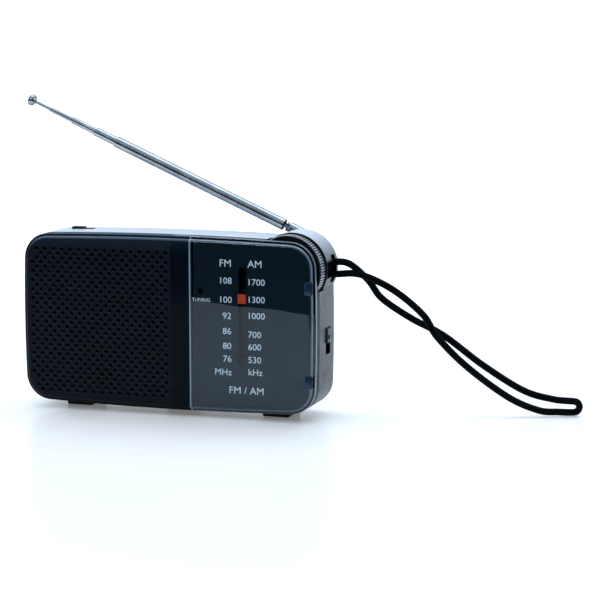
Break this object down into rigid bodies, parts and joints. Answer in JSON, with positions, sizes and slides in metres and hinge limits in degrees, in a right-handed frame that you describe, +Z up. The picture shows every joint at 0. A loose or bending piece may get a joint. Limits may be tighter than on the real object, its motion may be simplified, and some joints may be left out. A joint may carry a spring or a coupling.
{
  "type": "transistor pocket radio",
  "caption": "Pocket radio with punched speaker grille, dial window with moving pointer, tuning thumbwheel, slide switches, telescopic antenna and cord wrist strap.",
  "frame": {"origin": "on the surface the radio stands on, below the middle of the case width and depth", "axes": "+X to the right seen from the front, +Y from the front to the back, +Z up"},
  "size_m": [0.2183, 0.0479, 0.1193],
  "materials": {
    "black_plastic": "fine moulded texture",
    "gloss_black_plastic": "polished",
    "silver_plastic": "fine metallic paint on plastic",
    "clear_plastic": "clear moulded acrylic",
    "dial_print": "printed plate",
    "orange_plastic": "moulded",
    "red_lamp": "tinted lens",
    "rubber_black": "moulded",
    "chrome_metal": "polished plate",
    "plain_steel": "plain",
    "brass_metal": "plain",
    "dark_ferrite": "sintered",
    "copper_winding": "enamelled wire",
    "board_green": "resin-bonded board",
    "chip_black": "moulded package",
    "capacitor_sleeve": "shrunk sleeve",
    "filter_amber": "dipped coating",
    "white_plastic": "moulded",
    "speaker_paper": "pressed fibre",
    "foam_grey": "foam ring",
    "cell_wrap": "plain printed sleeve",
    "wire_sleeve": "insulation",
    "cord_thread": "waxed thread",
    "strap_cord": "braided cord"
  },
  "bodies": {
    "case": {"antenna_bracket": "brass_metal", "antenna_screw": "chrome_metal", "band_switch": "plain_steel", "battery_cells": "cell_wrap", "battery_spring": "plain_steel", "board_screws": "plain_steel", "case_screws": "plain_steel", "ceramic_filters": "filter_amber", "circuit_board": "board_green", "dial_cord": "cord_thread", "dial_lens": "clear_plastic", "dial_plate": "dial_print", "earphone_jack": "chip_black", "electrolytic_capacitors": "capacitor_sleeve", "feet": "rubber_black", "ferrite_coil": "copper_winding", "ferrite_holders": "white_plastic", "ferrite_rod": "dark_ferrite", "front_cover": "black_plastic", "if_transformers": "plain_steel", "negative_contact": "plain_steel", "pointer_rail": "plain_steel", "positive_contact": "plain_steel", "power_switch": "plain_steel", "radio_chip": "chip_black", "rear_cover": "silver_plastic", "speaker_basket": "plain_steel", "speaker_clips": "plain_steel", "speaker_cone": "speaker_paper", "speaker_dust_cap": "speaker_paper", "speaker_gasket": "foam_grey", "speaker_magnet": "dark_ferrite", "speaker_screws": "plain_steel", "speaker_voice_coil": "copper_winding", "speaker_wires": "wire_sleeve", "speaker_yoke": "plain_steel", "strap_bar": "plain_steel", "tuning_capacitor": "white_plastic", "tuning_led": "red_lamp", "volume_control": "chip_black"},
    "tuning_drive": {"tuning_wheel": "gloss_black_plastic", "tuning_shaft": "plain_steel", "cord_drum": "white_plastic"},
    "upper_pulley": {"upper_cord_pulley": "white_plastic"},
    "lower_pulley": {"lower_cord_pulley": "white_plastic"},
    "pointer": {"dial_pointer": "orange_plastic"},
    "volume_drive": {"volume_wheel": "gloss_black_plastic", "volume_shaft": "plain_steel"},
    "power_slider": {"power_knob": "black_plastic"},
    "band_slider": {"band_knob": "silver_plastic"},
    "battery_lid": {"battery_door": "silver_plastic"},
    "antenna_swivel": {"antenna_base": "chrome_metal", "antenna_hinge_pin": "plain_steel"},
    "antenna_mast": {"antenna_tube": "chrome_metal"},
    "antenna_stage_two": {"antenna_second_section": "chrome_metal"},
    "antenna_stage_three": {"antenna_third_section": "chrome_metal"},
    "antenna_stage_four": {"antenna_fourth_section": "chrome_metal"},
    "antenna_stage_five": {"antenna_rod": "chrome_metal", "antenna_tip": "chrome_metal"},
    "strap": {"wrist_strap": "strap_cord"}
  },
  "joints": [
    {"name": "tuning_turn", "type": "hinge", "parent": "case", "child": "tuning_drive", "pos_m": [0.0468, -0.0085, 0.0567], "axis": [0, 1, 0], "range_deg": [-138.9, 41.1]},
    {"name": "pointer_travel", "type": "slide", "parent": "case", "child": "pointer", "axis": [0, 0, 1], "range_m": [-0.02286, 0.00677]},
    {"name": "upper_pulley_turn", "type": "hinge", "parent": "case", "child": "upper_pulley", "pos_m": [0.0324, -0.0051, 0.0625], "axis": [0, 1, 0], "range_deg": [-558.4, 165.9]},
    {"name": "lower_pulley_turn", "type": "hinge", "parent": "case", "child": "lower_pulley", "pos_m": [0.0324, -0.0051, 0.0135], "axis": [0, 1, 0], "range_deg": [-558.4, 165.9]},
    {"name": "volume_turn", "type": "hinge", "parent": "case", "child": "volume_drive", "pos_m": [-0.0505, 0.002, 0.047], "axis": [0, 1, 0], "range_deg": [0, 280]},
    {"name": "power_slide", "type": "slide", "parent": "case", "child": "power_slider", "axis": [1, 0, 0], "range_m": [0, 0.0042]},
    {"name": "band_slide", "type": "slide", "parent": "case", "child": "band_slider", "axis": [0, 0, -1], "range_m": [0, 0.0043]},
    {"name": "battery_door_lift", "type": "slide", "parent": "case", "child": "battery_lid", "axis": [0, 1, 0], "range_m": [0, 0.02]},
    {"name": "antenna_rotate", "type": "hinge", "parent": "case", "child": "antenna_swivel", "pos_m": [0.051, 0.0116, 0.06577], "axis": [0, 1, 0], "range_deg": [-23.7, 126.3]},
    {"name": "antenna_tilt", "type": "hinge", "parent": "antenna_swivel", "child": "antenna_mast", "pos_m": [0.04038, 0.0116, 0.07043], "axis": [-0.4019, 0, -0.9157], "range_deg": [0, 90]},
    {"name": "second_section_draw", "type": "slide", "parent": "antenna_mast", "child": "antenna_stage_two", "axis": [-0.9157, 0, 0.4019], "range_m": [-0.0086, 0.055]},
    {"name": "third_section_draw", "type": "slide", "parent": "antenna_stage_two", "child": "antenna_stage_three", "axis": [-0.9157, 0, 0.4019], "range_m": [-0.0095, 0.052]},
    {"name": "fourth_section_draw", "type": "slide", "parent": "antenna_stage_three", "child": "antenna_stage_four", "axis": [-0.9157, 0, 0.4019], "range_m": [-0.0097, 0.05]},
    {"name": "rod_draw", "type": "slide", "parent": "antenna_stage_four", "child": "antenna_stage_five", "axis": [-0.9157, 0, 0.4019], "range_m": [-0.0061, 0.05]},
    {"name": "strap_swing", "type": "hinge", "parent": "case", "child": "strap", "pos_m": [0.0579, 0.0044, 0.0564], "axis": [0, 1, 0], "range_deg": [-22, 12]}
  ],
  "couplings": [
    {"joint": "pointer_travel", "follows": "tuning_turn", "m_per_rad": 0.00943},
    {"joint": "upper_pulley_turn", "follows": "tuning_turn", "ratio": 4.0128},
    {"joint": "lower_pulley_turn", "follows": "tuning_turn", "ratio": 4.0128}
  ]
}
